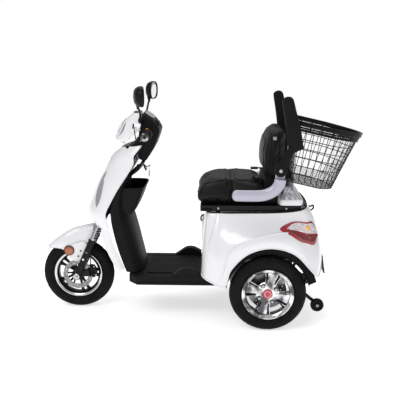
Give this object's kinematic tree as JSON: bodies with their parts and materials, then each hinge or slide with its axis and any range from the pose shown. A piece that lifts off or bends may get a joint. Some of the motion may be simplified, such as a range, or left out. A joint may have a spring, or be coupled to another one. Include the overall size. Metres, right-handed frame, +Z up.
{
  "type": "three-wheeled mobility scooter",
  "caption": "Electric mobility scooter with one front wheel, padded armchair seat, fold-down armrests, mirrors and rear basket.",
  "frame": {"origin": "on the floor, under the middle of the whole vehicle", "axes": "+X towards the rear, +Y towards the rider's right, +Z up; the front wheel is at -X"},
  "size_m": [1.7827, 0.7204, 1.2769],
  "materials": {
    "white_panel": "gloss white moulded plastic",
    "black_plastic": "grained black plastic",
    "black_paint": "satin black paint on steel",
    "grey_plastic": "gloss grey plastic",
    "clear_lens": "clear lens over a bright reflector",
    "display": "gloss display cover",
    "red_lens": "deep red and clear lens",
    "amber_lens": "amber lens",
    "rubber": "moulded black rubber",
    "tyre": "road tyre",
    "chrome": "chromed alloy",
    "machined": "machined alloy",
    "disc_steel": "ground steel",
    "cast": "cast alloy housing",
    "battery": "battery case",
    "vinyl": "black grained vinyl over foam",
    "arm_grey": "light grey gloss",
    "foam": "soft black foam",
    "wire": "black coated wire",
    "red_cap": "red cap with a pale ring",
    "webbing": "black webbing and buckle"
  },
  "bodies": {
    "chassis": {"frame": "black_paint", "floor_pan": "black_plastic", "floor_mat": "rubber", "front_shield": "white_panel", "side_lamps": "grey_plastic", "leg_shield": "black_plastic", "ignition_lock": "machined", "rear_body": "white_panel", "wheel_liners": "black_plastic", "tail_lamps": "red_lens", "rear_plate": "black_plastic", "battery_pack": "battery", "transaxle": "cast", "anti_tip_arms": "black_paint", "rear_calipers": "machined"},
    "steering": {"steering_column": "disc_steel", "handlebar": "black_paint", "front_cowl": "white_panel", "dash_housing": "black_plastic", "dash_display": "display", "headlight": "clear_lens", "left_grip": "rubber", "lever_perches": "black_plastic", "mirror_stems": "black_paint"},
    "turn_switch": {"turn_switch": "amber_lens"},
    "throttle": {"throttle_grip": "rubber"},
    "left_lever": {"left_brake_lever": "black_paint"},
    "right_lever": {"right_brake_lever": "black_paint"},
    "left_mirror": {"left_mirror": "black_plastic"},
    "right_mirror": {"right_mirror": "black_plastic"},
    "fork": {"fork_lowers": "black_paint", "fork_springs": "chrome", "front_fender": "white_panel", "front_reflectors": "amber_lens", "front_caliper": "black_paint", "front_axle": "disc_steel"},
    "front_wheel": {"front_tyre": "tyre", "front_rim": "black_paint", "front_disc": "disc_steel"},
    "left_wheel": {"left_rear_tyre": "tyre", "left_rear_rim": "chrome", "left_wheel_cap": "red_cap", "left_drive_hub": "disc_steel"},
    "right_wheel": {"right_rear_tyre": "tyre", "right_rear_rim": "chrome", "right_wheel_cap": "red_cap", "right_drive_hub": "disc_steel"},
    "seat": {"seat_frame": "black_paint", "seat_cushion": "vinyl", "tail_cover": "grey_plastic", "backrest": "vinyl", "armrest_tubes": "arm_grey", "basket": "wire", "basket_rim": "black_plastic", "lap_belt": "webbing"},
    "left_arm": {"left_armrest": "foam"},
    "right_arm": {"right_armrest": "foam"},
    "left_tip": {"left_tip_wheel": "rubber"},
    "right_tip": {"right_tip_wheel": "rubber"},
    "key": {"ignition_key": "black_plastic"}
  },
  "joints": [
    {"name": "steer", "type": "hinge", "parent": "chassis", "child": "steering", "pos_m": [-0.68352, 0, 0.203], "axis": [0.4131, 0, 0.9107], "range_deg": [-30, 30]},
    {"name": "fork_travel", "type": "slide", "parent": "steering", "child": "fork", "axis": [0.4131, 0, 0.9107], "range_m": [-0.01, 0.045], "stiffness_N_per_m": 26000, "springref_m": -0.013, "deforming": ["fork_springs"]},
    {"name": "front_wheel_spin", "type": "hinge", "parent": "fork", "child": "front_wheel", "pos_m": [-0.68352, 0, 0.203], "axis": [0, 1, 0], "continuous": true},
    {"name": "left_wheel_spin", "type": "hinge", "parent": "chassis", "child": "left_wheel", "pos_m": [0.37848, -0.31, 0.203], "axis": [0, 1, 0], "continuous": true},
    {"name": "right_wheel_spin", "type": "hinge", "parent": "chassis", "child": "right_wheel", "pos_m": [0.37848, 0.31, 0.203], "axis": [0, 1, 0], "continuous": true},
    {"name": "throttle_twist", "type": "hinge", "parent": "steering", "child": "throttle", "pos_m": [-0.25452, 0.27, 1.025], "axis": [0, 1, 0], "range_deg": [0, 60], "stiffness_Nm_per_rad": 0.5, "springref_deg": -17.19},
    {"name": "left_lever_pull", "type": "hinge", "parent": "steering", "child": "left_lever", "pos_m": [-0.29471, -0.197, 1.00263], "axis": [-0.4863, 0, 0.8738], "range_deg": [0, 22], "stiffness_Nm_per_rad": 2, "springref_deg": -20.05},
    {"name": "right_lever_pull", "type": "hinge", "parent": "steering", "child": "right_lever", "pos_m": [-0.29471, 0.197, 1.00263], "axis": [0.4863, 0, -0.8738], "range_deg": [0, 22], "stiffness_Nm_per_rad": 2, "springref_deg": -20.05},
    {"name": "turn_switch_slide", "type": "slide", "parent": "steering", "child": "turn_switch", "axis": [0, 1, 0], "range_m": [-0.004, 0.004]},
    {"name": "left_mirror_turn", "type": "hinge", "parent": "steering", "child": "left_mirror", "pos_m": [-0.29152, -0.268, 1.173], "axis": [0, 0, 1], "range_deg": [-25, 25]},
    {"name": "right_mirror_turn", "type": "hinge", "parent": "steering", "child": "right_mirror", "pos_m": [-0.29152, 0.268, 1.173], "axis": [0, 0, 1], "range_deg": [-25, 25]},
    {"name": "seat_flip", "type": "hinge", "parent": "chassis", "child": "seat", "pos_m": [0.02848, 0, 0.627], "axis": [0, -1, 0], "range_deg": [0, 30]},
    {"name": "left_arm_fold", "type": "hinge", "parent": "seat", "child": "left_arm", "pos_m": [0.43348, -0.267, 0.851], "axis": [0, -1, 0], "range_deg": [0, 79]},
    {"name": "right_arm_fold", "type": "hinge", "parent": "seat", "child": "right_arm", "pos_m": [0.43348, 0.267, 0.851], "axis": [0, -1, 0], "range_deg": [0, 79]},
    {"name": "left_tip_spin", "type": "hinge", "parent": "chassis", "child": "left_tip", "pos_m": [0.65548, -0.218, 0.102], "axis": [0, 1, 0], "continuous": true},
    {"name": "right_tip_spin", "type": "hinge", "parent": "chassis", "child": "right_tip", "pos_m": [0.65548, 0.218, 0.102], "axis": [0, 1, 0], "continuous": true},
    {"name": "key_turn", "type": "hinge", "parent": "chassis", "child": "key", "pos_m": [-0.29852, 0.04, 0.809], "axis": [0.9272, 0, 0.3746], "range_deg": [0, 60]}
  ]
}
